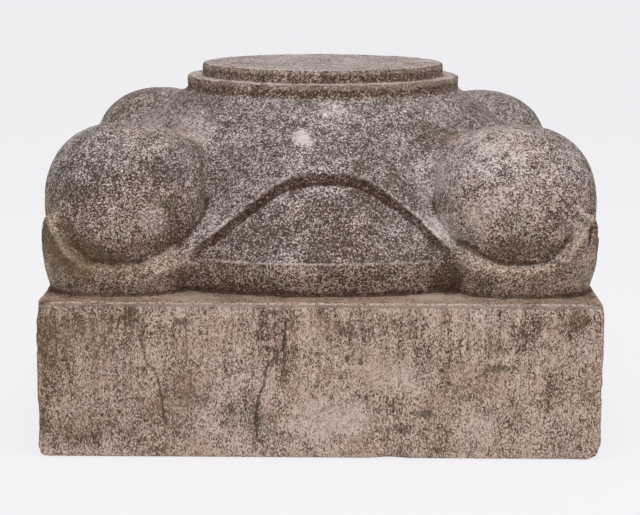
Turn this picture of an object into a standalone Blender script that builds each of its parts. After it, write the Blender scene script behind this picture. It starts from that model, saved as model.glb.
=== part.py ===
"""A square stone column base: a plinth block, a torus under an arched skirt and a ball in a cup at each corner.

Everything is carved from one stone, so everything ends in one closed solid. Sizes are metres, +Z is up, the
origin is under the middle of the plinth, and the front face looks along -Y. Heights named ..._RISE are
measured from the top of the plinth.
"""
import math

import bmesh
import bpy
from mathutils import Matrix, Vector

# Plinth block
PLINTH_WIDTH = 0.400
PLINTH_DEPTH = 0.445
PLINTH_HEIGHT = 0.1127
ARRIS_WEAR = 0.0022

# Two stepped discs that carry the column
SEAT_RADIUS = 0.0963
SEAT_THICKNESS = 0.0102
COLLAR_RADIUS = 0.1088
COLLAR_THICKNESS = 0.0097
DISC_WEAR = 0.0012
PIT_RADIUS = 0.0030
PIT_DEPTH = 0.0018

# Bell that spreads from the discs and ends as a skirt over the torus
BELL_TOP_RADIUS = 0.1082
BELL_TOP_RISE = 0.1344
BELL_TOP_SLOPE = 0.61
BELL_FOOT_SLOPE = 0.96
SKIRT_THICKNESS = 0.0056

# Torus, nearly straight from its shoulder down to its ridge and rounded in below
SHOULDER_RADIUS = 0.1680
SHOULDER_RISE = 0.0800
FACE_SWELL = 0.0026
RIDGE_RADIUS = 0.2015
RIDGE_RISE = 0.0245
FOOT_RADIUS = 0.1960

# Hollow beside each ball, where skirt and torus face fall back towards the stone's core
HOLLOW_DEPTH = 0.0210
HOLLOW_START = math.radians(9)
HOLLOW_FULL = math.radians(37)
HOLLOW_LOW = 0.0400
HOLLOW_HIGH = 0.1240

# Arch that opens the skirt on each face, and the sloping edge it leaves
ARCH_RISE = 0.0862
ARCH_CROWN_HALF = 0.0280
ARCH_SLOPE = 0.83
ARCH_SOFTNESS = 0.0080
EDGE_DROP = 0.0078
EDGE_TUCK = 0.0004

# Balls
BALL_OFFSET = 0.1440
BALL_RISE = 0.0604
BALL_RADIUS = 0.0595
BALL_HALF_HEIGHT = 0.0587
BALL_FULLNESS = 2.3

# Cups that hold the balls, squarish in plan, each lip drawn up to a tip at the outer corner
CUP_SHIFT = 0.0040
CUP_RADIUS = 0.0586
CUP_FOOT_RADIUS = 0.0500
CUP_BELLY_RISE = 0.0420
CUP_BELLY_BEND = 1.5
CUP_SQUARENESS = 2.8
LIP_RISE = 0.0240
LIP_FALL = 0.0050
LIP_DROOP = 0.0229
LIP_DROOP_START = math.radians(68)
LIP_ROUND = 0.0030
TIP_RISE = 0.0375
TIP_WIDTH = math.radians(12)
TIP_REACH = 0.0045
LIP_CLIMB_START = math.radians(74)
LIP_CLIMB = 0.0378

# How finely the round pieces are cut into flats
TURNS = 72
CUP_TURNS = 48
BALL_TURNS = 32
BALL_BANDS = 14

SHARP_FROM = math.radians(32)

# How far the torus and the cups reach down into the plinth, so that they join it
TORUS_SINK = 0.006


def soft_ramp(value, width):
    """Zero for negative values, the value itself for positive ones, blended over the width."""
    scaled = value / width
    if scaled > 30:
        return value
    return width * math.log1p(math.exp(scaled))


def add_object(name, bm):
    mesh = bpy.data.meshes.new(name)
    bmesh.ops.recalc_face_normals(bm, faces=bm.faces)
    bm.to_mesh(mesh)
    bm.free()
    mesh.shade_smooth()
    mesh.set_sharp_from_angle(angle=SHARP_FROM)
    obj = bpy.data.objects.new(name, mesh)
    bpy.context.scene.collection.objects.link(obj)
    return obj


def smooth_step(low, high, value):
    share = min(1.0, max(0.0, (value - low) / (high - low)))
    return share * share * (3 - 2 * share)


def hollow(rise, angle):
    """How far a face falls back at a height, for an angle about Z; none at the middle of each side."""
    quarter = math.pi / 2
    turn = abs((angle + quarter / 2) % quarter - quarter / 2)
    middle = HOLLOW_LOW + 0.25 * (HOLLOW_HIGH - HOLLOW_LOW)
    upright = smooth_step(HOLLOW_LOW, middle, rise) * (1 - smooth_step(middle * 1.3, HOLLOW_HIGH, rise))
    return HOLLOW_DEPTH * smooth_step(HOLLOW_START, HOLLOW_FULL, turn) * upright


def lathe(name, profile, turns):
    """Closed solid turned about Z from (radius, height) pairs that start and end on the axis."""
    bm = bmesh.new()
    bottom = bm.verts.new((0, 0, profile[0][1]))
    top = bm.verts.new((0, 0, profile[-1][1]))
    rings = []
    for radius, height in profile[1:-1]:
        ring = []
        for step in range(turns):
            angle = 2 * math.pi * (step + 0.5) / turns
            reach = radius - hollow(height - PLINTH_HEIGHT, angle)
            ring.append(bm.verts.new((reach * math.cos(angle), reach * math.sin(angle), height)))
        rings.append(ring)
    skin(bm, rings, bottom, top)
    return add_object(name, bm)


def skin(bm, rings, bottom, top):
    """Walls between neighbouring rings, and a fan of triangles at each end."""
    count = len(rings[0])
    for step in range(count):
        after = (step + 1) % count
        bm.faces.new((bottom, rings[0][after], rings[0][step]))
        bm.faces.new((top, rings[-1][step], rings[-1][after]))
        for lower, upper in zip(rings, rings[1:]):
            bm.faces.new((lower[step], lower[after], upper[after], upper[step]))


def plinth():
    bm = bmesh.new()
    bmesh.ops.create_cube(bm, size=1.0)
    bmesh.ops.scale(bm, vec=(PLINTH_WIDTH, PLINTH_DEPTH, PLINTH_HEIGHT), verts=bm.verts)
    bmesh.ops.translate(bm, vec=(0, 0, PLINTH_HEIGHT / 2), verts=bm.verts)
    bmesh.ops.bevel(bm, geom=bm.edges[:], offset=ARRIS_WEAR, segments=2, profile=0.5, affect="EDGES")
    return add_object("column_base", bm)


def skirt_offset():
    """Step out and up from the torus face to the skirt face, square to the slope they share."""
    run = RIDGE_RADIUS - SHOULDER_RADIUS
    fall = SHOULDER_RISE - RIDGE_RISE
    length = math.hypot(run, fall)
    return SKIRT_THICKNESS * fall / length, SKIRT_THICKNESS * run / length


def torus_radius(rise):
    """Radius of the torus' upper face, carried on straight above and below it."""
    share = (SHOULDER_RISE - rise) / (SHOULDER_RISE - RIDGE_RISE)
    swell = FACE_SWELL * 4 * share * (1 - share) if 0 < share < 1 else 0
    return SHOULDER_RADIUS + share * (RIDGE_RADIUS - SHOULDER_RADIUS) + swell


def skirt_radius(rise):
    out, up = skirt_offset()
    return torus_radius(rise - up) + out


def torus():
    base = PLINTH_HEIGHT
    profile = [(0, base - TORUS_SINK), (FOOT_RADIUS - 0.004, base - TORUS_SINK), (FOOT_RADIUS, base)]
    for share in (0.3, 0.65):
        swell = math.sin(share * math.pi / 2)
        profile.append((FOOT_RADIUS + swell * (RIDGE_RADIUS - FOOT_RADIUS), base + share * RIDGE_RISE))
    for share in (0.0, 0.25, 0.5, 0.75, 1.0):
        rise = RIDGE_RISE + share * (SHOULDER_RISE - RIDGE_RISE)
        profile.append((torus_radius(rise), base + rise))
    inner = SHOULDER_RADIUS * 0.88
    profile.append((inner, base + SHOULDER_RISE + 0.35 * (SHOULDER_RADIUS - inner)))
    profile.append((0, base + SHOULDER_RISE + 0.35 * (SHOULDER_RADIUS - inner)))
    return lathe("torus", profile, TURNS)


def bell_curve(count):
    """Points of the bell from just inside the discs down to the shoulder of the skirt."""
    out, up = skirt_offset()
    start = Vector((BELL_TOP_RADIUS, BELL_TOP_RISE))
    end = Vector((SHOULDER_RADIUS + out, SHOULDER_RISE + up))
    reach = (end.x - start.x) * 0.29
    near_start = start + Vector((reach, -BELL_TOP_SLOPE * reach))
    near_end = end + Vector((-reach, BELL_FOOT_SLOPE * reach))
    points = []
    for step in range(count + 1):
        t = step / count
        points.append(
            (1 - t) ** 3 * start + 3 * (1 - t) ** 2 * t * near_start + 3 * (1 - t) * t**2 * near_end + t**3 * end
        )
    return points


def bell():
    """Bell, skirt and both discs as one turned solid."""
    base = PLINTH_HEIGHT
    low = base + BELL_TOP_RISE
    middle = low + COLLAR_THICKNESS
    top = middle + SEAT_THICKNESS
    profile = [(0, base + 0.002), (FOOT_RADIUS - 0.008, base + 0.002)]
    for share in (0.0, 0.25, 0.5, 0.75):
        rise = RIDGE_RISE + share * (SHOULDER_RISE - RIDGE_RISE)
        profile.append((skirt_radius(rise), base + rise))
    for point in reversed(bell_curve(6)):
        profile.append((point.x, base + point.y))
    profile.append((COLLAR_RADIUS, low + DISC_WEAR * 0.5))
    profile.append((COLLAR_RADIUS, middle - DISC_WEAR))
    profile.append((COLLAR_RADIUS - DISC_WEAR, middle))
    profile.append((SEAT_RADIUS, middle + DISC_WEAR * 0.4))
    profile.append((SEAT_RADIUS, top - DISC_WEAR))
    profile.append((SEAT_RADIUS - DISC_WEAR, top))
    profile.append((PIT_RADIUS, top))
    profile.append((PIT_RADIUS * 0.5, top - PIT_DEPTH))
    profile.append((0, top - PIT_DEPTH))
    return lathe("bell", profile, TURNS)


def arch_rise(across, crown_half, crown_rise):
    fall = soft_ramp(abs(across) - crown_half, ARCH_SOFTNESS) - soft_ramp(-crown_half, ARCH_SOFTNESS)
    return crown_rise - ARCH_SLOPE * fall


def depth_at(radius, rise, across):
    """Distance of a turned face from the middle plane, at a height and a distance to the side."""
    share = min(1.0, abs(across) / radius)
    reach = radius - hollow(rise, math.asin(share))
    return math.sqrt(max(reach**2 - across**2, 1e-6))


def arch_cutter(name, turn):
    """Flared plug that opens the skirt, its wall passing through both edges of the sloping band."""
    half = ARCH_CROWN_HALF + (ARCH_RISE - RIDGE_RISE * 0.4) / ARCH_SLOPE
    count = 40
    clear = -1.2 * (RIDGE_RADIUS + SKIRT_THICKNESS)
    front_loop = []
    outer_loop = []
    inner_loop = []
    for step in range(count + 1):
        across = half * (2 * step / count - 1)
        high = arch_rise(across, ARCH_CROWN_HALF, ARCH_RISE)
        near = depth_at(skirt_radius(min(high, SHOULDER_RISE)), high, across)
        inside = across * (1 - EDGE_TUCK / half)
        low = arch_rise(inside, ARCH_CROWN_HALF + EDGE_TUCK, ARCH_RISE - EDGE_DROP)
        far = depth_at(torus_radius(min(low, SHOULDER_RISE)), low, inside)
        edge = Vector((across, -near, high))
        tuck = Vector((inside, -far, low))
        slope = edge - tuck
        outer = edge + slope * 0.4
        outer_loop.append(outer)
        front_loop.append(Vector((outer.x, clear, outer.z)))
        inner_loop.append(tuck - slope * 1.5)
    bm = bmesh.new()
    lift = Vector((0, 0, PLINTH_HEIGHT))
    loops = []
    for loop in (front_loop, outer_loop, inner_loop):
        for end in (loop[-1], loop[0]):
            loop.append(Vector((end.x, end.y, -0.02)))
        loops.append([bm.verts.new(p + lift) for p in loop])
    total = len(loops[0])
    for near, far in zip(loops, loops[1:]):
        for step in range(total):
            after = (step + 1) % total
            bm.faces.new((near[step], near[after], far[after], far[step]))
    bm.faces.new(loops[0])
    bm.faces.new(list(reversed(loops[-1])))
    bmesh.ops.triangulate(bm, faces=bm.faces)
    bmesh.ops.rotate(bm, cent=(0, 0, 0), matrix=turn_matrix(turn), verts=bm.verts)
    return add_object(name, bm)


def turn_matrix(angle):
    return Matrix.Rotation(angle, 3, "Z")


def full_round(value, power):
    return math.copysign(abs(value) ** (2 / power), value)


def ball(name, turn):
    """Slightly full ball: a circle in plan, a rounded square from the side."""
    bm = bmesh.new()
    middle = PLINTH_HEIGHT + BALL_RISE
    bottom = bm.verts.new((0, 0, -BALL_HALF_HEIGHT))
    top = bm.verts.new((0, 0, BALL_HALF_HEIGHT))
    rings = []
    for band in range(1, BALL_BANDS):
        tilt = math.pi * (band / BALL_BANDS - 0.5)
        radius = BALL_RADIUS * full_round(math.cos(tilt), BALL_FULLNESS)
        height = BALL_HALF_HEIGHT * full_round(math.sin(tilt), BALL_FULLNESS)
        ring = []
        for step in range(BALL_TURNS):
            angle = 2 * math.pi * (step + 0.25) / BALL_TURNS
            ring.append(bm.verts.new((radius * math.cos(angle), radius * math.sin(angle), height)))
        rings.append(ring)
    skin(bm, rings, bottom, top)
    bmesh.ops.translate(bm, vec=(BALL_OFFSET, -BALL_OFFSET, middle), verts=bm.verts)
    bmesh.ops.rotate(bm, cent=(0, 0, 0), matrix=turn_matrix(turn), verts=bm.verts)
    return add_object(name, bm)


def cup_wall(rise, away):
    """Radius of the cup's outside at a height, in the direction that lies away from the outer corner."""
    if rise < CUP_BELLY_RISE:
        share = (CUP_BELLY_RISE - rise) / CUP_BELLY_RISE
        radius = CUP_RADIUS - (CUP_RADIUS - CUP_FOOT_RADIUS) * share**CUP_BELLY_BEND
    else:
        share = (rise - CUP_BELLY_RISE) / CUP_BELLY_RISE
        radius = CUP_RADIUS - 0.5 * (CUP_RADIUS - CUP_FOOT_RADIUS) * share**2
    along = away + math.pi / 4
    power = CUP_SQUARENESS
    spread = (abs(math.cos(along)) ** power + abs(math.sin(along)) ** power) ** (-1 / power)
    reach = TIP_REACH * math.exp(-((away / TIP_WIDTH) ** 2))
    return radius * spread + reach * min(1.0, max(0.0, rise / CUP_BELLY_RISE - 0.4))


def lip_rises(away):
    """Heights of the line where the lip touches the ball and of the lip's outer edge."""
    away = abs(away)
    tip = math.exp(-((away / TIP_WIDTH) ** 1.4))
    climb = LIP_CLIMB * soft_ramp(away - LIP_CLIMB_START, math.radians(5))
    touch = LIP_RISE + TIP_RISE * tip + climb
    droop = LIP_DROOP * soft_ramp(away - LIP_DROOP_START, math.radians(5))
    return touch, touch - LIP_FALL * (1 - 0.4 * tip) - droop


def ball_reach(rise, away):
    """Distance from the cup's axis to the ball's skin at a height and in a direction."""
    part = min(abs(rise - BALL_RISE) / BALL_HALF_HEIGHT, 0.98)
    radius = BALL_RADIUS * (1 - part**BALL_FULLNESS) ** (1 / BALL_FULLNESS)
    shift = CUP_SHIFT * math.sqrt(2)
    inside = max(radius**2 - (shift * math.sin(away)) ** 2, 1e-8)
    return math.sqrt(inside) - shift * math.cos(away)


def cup(name, turn):
    """Bowl under a ball: wall from the plinth to the lip, then a strip that slopes up to the ball."""
    bm = bmesh.new()
    bottom = bm.verts.new((0, 0, -TORUS_SINK))
    top = bm.verts.new((0, 0, BALL_RISE))
    columns = []
    for step in range(CUP_TURNS):
        away = 2 * math.pi * step / CUP_TURNS
        if away > math.pi:
            away -= 2 * math.pi
        touch, edge = lip_rises(away)
        steps = [(cup_wall(0, away) * 0.93, -TORUS_SINK)]
        for share in (0.0, 0.2, 0.45, 0.75):
            steps.append((cup_wall(share * edge, away), share * edge))
        steps.append((cup_wall(edge, away) - LIP_ROUND * 0.25, edge - LIP_ROUND * 0.35))
        steps.append((cup_wall(edge, away) - LIP_ROUND, edge + LIP_ROUND * 0.35))
        contact = min(ball_reach(touch, away), cup_wall(edge, away) - LIP_ROUND * 2)
        steps.append((contact, touch))
        steps.append((contact * 0.85, touch + 0.001))
        direction = away - math.pi / 4
        columns.append([(r * math.cos(direction), r * math.sin(direction), z) for r, z in steps])
    rings = []
    for level in range(len(columns[0])):
        rings.append([bm.verts.new(column[level]) for column in columns])
    skin(bm, rings, bottom, top)
    centre = BALL_OFFSET + CUP_SHIFT
    bmesh.ops.translate(bm, vec=(centre, -centre, PLINTH_HEIGHT), verts=bm.verts)
    bmesh.ops.rotate(bm, cent=(0, 0, 0), matrix=turn_matrix(turn), verts=bm.verts)
    return add_object(name, bm)


def combine(target, helper, operation):
    """Adds a live Boolean and hides the helper from renders."""
    modifier = target.modifiers.new(helper.name, "BOOLEAN")
    modifier.operation = operation
    modifier.solver = "EXACT"
    modifier.object = helper
    helper.hide_render = True
    helper.display_type = "WIRE"


def stone():
    material = bpy.data.materials.new("weathered_stone")
    material.use_nodes = True
    shader = material.node_tree.nodes["Principled BSDF"]
    shader.inputs["Base Color"].default_value = (0.30, 0.24, 0.205, 1)
    shader.inputs["Roughness"].default_value = 0.9
    shader.inputs["Metallic"].default_value = 0.0
    material.diffuse_color = (0.30, 0.24, 0.205, 1)
    return material


def build():
    for obj in list(bpy.data.objects):
        bpy.data.objects.remove(obj, do_unlink=True)
    base = plinth()
    base.data.materials.append(stone())
    spread = bell()
    for side in range(4):
        combine(spread, arch_cutter(f"arch_{side + 1}", side * math.pi / 2), "DIFFERENCE")
    combine(base, torus(), "UNION")
    combine(base, spread, "UNION")
    for corner in range(4):
        turn = corner * math.pi / 2
        combine(base, cup(f"cup_{corner + 1}", turn), "UNION")
        combine(base, ball(f"ball_{corner + 1}", turn), "UNION")


build()
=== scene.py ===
"""Weathered stone column base: the carving cut finer than the plain solid, and its old stone finish, with
shade and highlights painted into its colour.

Metres, +Z up, origin under the middle of the plinth, front face along -Y. Heights named ..._RISE are
measured from the top of the plinth, as they are in the part's source. In the finish, the two numbers
after a value in ramp, fall and near are where a share begins and where it ends.
"""
import math
from types import SimpleNamespace

import bpy
import numpy as np
from mathutils import Euler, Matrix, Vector


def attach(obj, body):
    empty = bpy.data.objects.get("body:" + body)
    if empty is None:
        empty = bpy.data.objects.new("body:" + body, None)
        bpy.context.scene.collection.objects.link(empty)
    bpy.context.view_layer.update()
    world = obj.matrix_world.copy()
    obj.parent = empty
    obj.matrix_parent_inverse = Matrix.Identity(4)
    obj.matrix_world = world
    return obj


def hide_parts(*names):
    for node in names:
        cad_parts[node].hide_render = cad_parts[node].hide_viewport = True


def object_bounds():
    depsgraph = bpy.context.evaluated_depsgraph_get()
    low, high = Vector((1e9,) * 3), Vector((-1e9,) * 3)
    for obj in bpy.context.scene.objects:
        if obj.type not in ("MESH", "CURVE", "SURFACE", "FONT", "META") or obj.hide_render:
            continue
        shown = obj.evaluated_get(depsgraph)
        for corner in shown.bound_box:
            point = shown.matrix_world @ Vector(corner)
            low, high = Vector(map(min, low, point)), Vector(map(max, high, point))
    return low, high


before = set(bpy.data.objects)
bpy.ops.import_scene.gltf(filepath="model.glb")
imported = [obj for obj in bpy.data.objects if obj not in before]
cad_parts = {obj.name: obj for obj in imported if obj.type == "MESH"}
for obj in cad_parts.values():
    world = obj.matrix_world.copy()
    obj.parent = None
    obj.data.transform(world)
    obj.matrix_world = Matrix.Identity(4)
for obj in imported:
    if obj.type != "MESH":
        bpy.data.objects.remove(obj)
CAD_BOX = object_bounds()

# Sizes shared with the solid
PLINTH_WIDTH = 0.400
PLINTH_DEPTH = 0.445
PLINTH_HEIGHT = 0.1127
SEAT_RADIUS = 0.0963
SEAT_THICKNESS = 0.0102
COLLAR_RADIUS = 0.1088
COLLAR_THICKNESS = 0.0097
BELL_TOP_RADIUS = 0.1082
BELL_TOP_RISE = 0.1344
BELL_TOP_SLOPE = 0.61
BELL_FOOT_SLOPE = 0.96
BELL_FULLNESS = 0.29
BELL_STEPS = 60
SKIRT_THICKNESS = 0.0056
SHOULDER_RADIUS = 0.1680
SHOULDER_RISE = 0.0800
FACE_SWELL = 0.0026
RIDGE_RADIUS = 0.2015
RIDGE_RISE = 0.0245
FOOT_RADIUS = 0.1960
HOLLOW_DEPTH = 0.0210
HOLLOW_START = math.radians(9)
HOLLOW_FULL = math.radians(37)
HOLLOW_LOW = 0.0400
HOLLOW_HIGH = 0.1240
ARCH_RISE = 0.0862
ARCH_CROWN_HALF = 0.0280
ARCH_SLOPE = 0.83
ARCH_SOFTNESS = 0.0080
EDGE_DROP = 0.0078
BALL_OFFSET = 0.1440
BALL_RISE = 0.0604
BALL_RADIUS = 0.0595
BALL_HALF_HEIGHT = 0.0587
BALL_FULLNESS = 2.3
CUP_SHIFT = 0.0040
CUP_RADIUS = 0.0586
CUP_FOOT_RADIUS = 0.0500
CUP_BELLY_RISE = 0.0420
CUP_BELLY_BEND = 1.5
CUP_SQUARENESS = 2.8
LIP_RISE = 0.0240
LIP_FALL = 0.0050
LIP_DROOP = 0.0229
LIP_DROOP_START = math.radians(68)
TIP_RISE = 0.0375
TIP_WIDTH = math.radians(12)
TIP_REACH = 0.0045
LIP_CLIMB_START = math.radians(74)
LIP_CLIMB = 0.0378
LIP_BEND = math.radians(5)

# How the lobes stray from the regular layout: (side of X, side of Y, shift in X, in Z, lift of the cup)
LOBES = (
    (-1, -1, 0.0002, 0.0004, -0.0018),
    (1, -1, -0.0003, -0.0004, 0.0014),
    (1, 1, -0.0056, 0.0002, 0.0),
    (-1, 1, 0.0000, 0.0016, 0.0),
)
LOBE_START = 0.055
FRONT_ARCH_SHIFT = 0.0040
RIGHT_FACE_PROUD = 0.0012

# Cosines of the slopes of the torus, the bell and the arched edge, to turn a difference into a distance
FACE_LEAN = 0.86
BELL_LEAN = 0.80
EDGE_LEAN = 0.8

# How far out and in from the skirt's face the arched edge slopes, as shares of the skirt's thickness
EDGE_LIMITS = (-0.6, 2.0)

# Roundings and soft blends between the forms
PLINTH_ROUNDING = 0.0024
DISC_ROUNDING = 0.0006
EDGE_ROUNDING = 0.0020
SKIRT_BLEND = 0.0024
LIP_ROUNDING = 0.0022
LIP_SIDE_ROUNDING = 0.0070
BALL_BLEND = 0.0024
BALL_TOP_BLEND = 0.0330
CUP_BLEND = 0.0026
CUP_SIDE_BLEND = 0.0060
CUP_TIP_BLEND = 0.0080
FOOT_BLEND = 0.0016

# How far a form runs on inside the next
OVERLAP = 0.012
DISC_OVERLAP = 0.0060

# Wear: how deep an arris is felt, how much thinner the stone is there, and what each kind of wear takes
ARRIS_DEPTH = 0.005
ARRIS_SHARE = 0.30
ARRIS_LOSS = 0.0014
BROAD_LOSS = 0.0006
FINE_LOSS = 0.0007
PIT_LOSS = 0.0007
LEAST_LOSS = 0.0002

# Chips and worn corners: (x, y, z, size on each axis, depth)
CHIPS = (
    (-0.2, -0.222, 0.112, (0.012, 0.012, 0.016), 0.0022),
    (-0.2, -0.222, 0.001, (0.006, 0.01, 0.006), 0.0012),
    (0.201, -0.222, 0.001, (0.008, 0.012, 0.009), 0.0038),
    (0.196, -0.222, 0.113, (0.01, 0.01, 0.006), 0.0014),
    (-0.124, -0.222, 0.0035, (0.009, 0.006, 0.0022), 0.0012),
    (0.05, -0.222, 0.001, (0.012, 0.006, 0.003), 0.0012),
    (0.12, -0.222, 0.113, (0.01, 0.008, 0.004), 0.0012),
    (-0.07, -0.222, 0.113, (0.012, 0.006, 0.004), 0.001),
    (0.048, -0.084, 0.267, (0.006, 0.006, 0.004), 0.0026),
    (0.0033, 0.0093, 0.268, (0.004, 0.006, 0.004), 0.003),
    (-0.091, -0.03, 0.267, (0.008, 0.008, 0.003), 0.0012),
)

# Dirt, fine contrast and warm tone of torus, bell, discs, plinth, balls and cups
DIRT = (0.84, 0.79, 1.00, 0.26, 0.68, 0.55)
CONTRAST = (1.0, 1.0, 1.0, 0.36, 1.0, 0.50)
WARMTH = (0.16, 0.08, 0.75, 0.45, 0.14, 0.80)

# Larger blotches: (x, y, z, size on each axis, dirt, tone from brown -1 to pale 1)
STAINS = (
    (-0.0135, -0.153, 0.2248, (0.0115, 0.02, 0.011), -0.9, 1.0),
    (0.0082, -0.125, 0.2408, (0.012, 0.02, 0.008), -0.3, 0.35),
    (0.055, -0.14, 0.223, (0.01, 0.02, 0.008), -0.24, 0.2),
    (-0.062, -0.13, 0.22, (0.014, 0.02, 0.007), -0.2, 0.1),
    (-0.096, -0.204, 0.1127, (0.03, 0.016, 0.004), -0.05, 0.5),
    (0.086, -0.199, 0.1127, (0.022, 0.016, 0.004), -0.25, 0.7),
    (0.092, -0.19, 0.1245, (0.012, 0.03, 0.013), 0.75, -0.6),
    (-0.095, -0.19, 0.1235, (0.01, 0.02, 0.008), 0.3, -0.4),
    (-0.06, -0.06, 0.24, (0.03, 0.03, 0.012), -0.16, 0.1),
    (-0.04, -0.19, 0.16, (0.026, 0.03, 0.016), 0.1, 0.0),
    (0.01, -0.19, 0.165, (0.018, 0.03, 0.026), 0.12, 0.0),
    (0.055, -0.19, 0.15, (0.024, 0.03, 0.014), -0.12, 0.1),
    (0.0935, -0.165, 0.159, (0.016, 0.03, 0.018), -0.4, 0.2),
    (-0.118, -0.195, 0.168, (0.014, 0.012, 0.012), -0.14, 0.25),
    (-0.125, -0.185, 0.205, (0.026, 0.02, 0.01), 0.3, 0.0),
    (-0.185, -0.19, 0.19, (0.014, 0.03, 0.02), 0.2, 0.0),
    (-0.145, -0.2, 0.146, (0.044, 0.016, 0.012), 0.14, -0.5),
    (0.11, -0.2, 0.165, (0.018, 0.014, 0.024), -0.12, 0.2),
    (0.13, -0.17, 0.207, (0.046, 0.04, 0.028), -0.26, 0.1),
    (0.148, -0.2, 0.19, (0.034, 0.02, 0.018), -0.18, 0.1),
    (0.145, -0.2, 0.146, (0.044, 0.016, 0.012), 0.12, -0.5),
    (0.182, -0.2, 0.152, (0.014, 0.03, 0.018), -0.16, 0.3),
    (-0.18, -0.2, 0.14, (0.024, 0.03, 0.02), 0.1, -0.8),
    (0.083, -0.14, 0.19, (0.014, 0.03, 0.024), -0.16, 0.2),
    (0.0915, -0.155, 0.158, (0.012, 0.03, 0.022), -0.26, 0.3),
    (0.108, -0.185, 0.146, (0.014, 0.03, 0.01), -0.2, 0.2),
    (-0.15, -0.2, 0.135, (0.034, 0.03, 0.008), 0.34, -0.3),
    (0.16, -0.2, 0.14, (0.034, 0.03, 0.007), -0.1, 0.2),
    (-0.122, -0.2, 0.178, (0.02, 0.014, 0.016), -0.16, 0.1),
    (-0.18, -0.185, 0.157, (0.014, 0.02, 0.012), 0.26, -0.1),
    (-0.172, -0.19, 0.186, (0.012, 0.02, 0.01), 0.26, -0.3),
    (-0.11, -0.19, 0.2, (0.022, 0.02, 0.008), 0.26, 0.1),
    (0.112, -0.2, 0.176, (0.014, 0.014, 0.018), -0.08, 0.1),
    (-0.11, -0.19, 0.195, (0.06, 0.04, 0.04), 0.1, 0.0),
    (-0.104, -0.11, 0.226, (0.03, 0.04, 0.018), -0.34, 0.1),
    (-0.145, -0.19, 0.2, (0.04, 0.03, 0.018), 0.1, 0.0),
    (0.095, -0.11, 0.215, (0.02, 0.03, 0.022), 0.08, 0.0),
    (-0.17, -0.21, 0.1127, (0.04, 0.02, 0.004), -0.14, 0.0),
)

# Larger blotches on the front face: (x, z, width, height, dirt, tone)
FRONT_STAINS = (
    (-0.186, 0.092, 0.022, 0.028, 0.48, -0.5),
    (-0.15, 0.055, 0.09, 0.08, 0.08, -0.25),
    (-0.197, 0.05, 0.01, 0.05, 0.25, -0.2),
    (-0.165, 0.018, 0.035, 0.012, 0.34, -0.3),
    (-0.14, 0.1, 0.012, 0.008, 0.22, 0.0),
    (-0.117, 0.1, 0.014, 0.006, 0.4, -0.6),
    (-0.083, 0.06, 0.03, 0.016, 0.16, 0.0),
    (-0.05, 0.03, 0.028, 0.014, 0.26, -0.3),
    (-0.098, 0.04, 0.022, 0.014, 0.24, -0.3),
    (-0.024, 0.085, 0.012, 0.034, 0.44, -0.3),
    (-0.04, 0.098, 0.016, 0.01, 0.3, -0.2),
    (0.012, 0.098, 0.022, 0.016, 0.3, 0.0),
    (0.058, 0.022, 0.008, 0.008, 0.42, -0.5),
    (0.128, 0.066, 0.01, 0.005, 0.38, -0.4),
    (0.128, 0.08, 0.008, 0.007, 0.32, -0.6),
    (0.15, 0.098, 0.01, 0.018, 0.4, -0.2),
    (0.185, 0.104, 0.014, 0.01, 0.44, -0.3),
    (0.14, 0.034, 0.006, 0.012, 0.26, -0.5),
    (0.165, 0.045, 0.008, 0.014, 0.24, -0.4),
    (0.01, 0.03, 0.04, 0.02, -0.18, 0.4),
    (0.05, 0.062, 0.03, 0.018, -0.2, 0.3),
    (0.11, 0.025, 0.022, 0.014, -0.18, 0.3),
    (-0.06, 0.052, 0.02, 0.012, -0.18, 0.2),
)

# Small dark spots on the front face: (x, z, width, height, strength)
FRONT_SPOTS = (
    (0.02, 0.0737, 0.0016, 0.0034, 0.85),
    (0.0299, 0.0715, 0.0016, 0.0034, 0.8),
    (0.0867, 0.0647, 0.0022, 0.0018, 0.85),
    (0.0925, 0.056, 0.0016, 0.0022, 0.85),
    (0.0757, 0.0335, 0.006, 0.0028, 0.65),
    (0.06, 0.0214, 0.004, 0.004, 0.5),
    (0.129, 0.0671, 0.007, 0.0024, 0.55),
    (-0.1249, 0.0975, 0.0026, 0.003, 0.6),
    (-0.0975, 0.099, 0.006, 0.0024, 0.65),
    (-0.024, 0.079, 0.0016, 0.014, 0.45),
    (0.016, 0.092, 0.0034, 0.0024, 0.5),
    (0.052, 0.1, 0.004, 0.0022, 0.5),
    (-0.03, 0.106, 0.006, 0.0022, 0.4),
    (0.16, 0.084, 0.004, 0.0022, 0.4),
)

# The pit in the middle of the seat: (x, y, z), size on each axis, strength
PIT = ((0.0033, 0.0093, 0.2660), (0.0040, 0.0060, 0.0040), 0.85)

# Cracks in the front face: half the width, then (height, across) points from the lowest up
CRACKS = (
    (0.0010, ((0.0220, -0.1085), (0.0496, -0.1127), (0.0635, -0.1154), (0.0692, -0.1224), (0.0866, -0.1257),
              (0.0968, -0.1221))),
    (0.0011, ((0.0089, -0.0410), (0.0170, -0.0438), (0.0251, -0.0452), (0.0457, -0.0423), (0.0537, -0.0388),
              (0.0654, -0.0380), (0.0756, -0.0295), (0.0800, -0.0253), (0.1017, -0.0224))),
)

# How far cracks stray, where the cut line lies, and how the plinth's specks are drawn out
WIGGLE = 0.0036
CUT_SHIFT = 0.0056
SPECKS_FINER = 0.30
SPECKS_LONGER = 0.28

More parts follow.
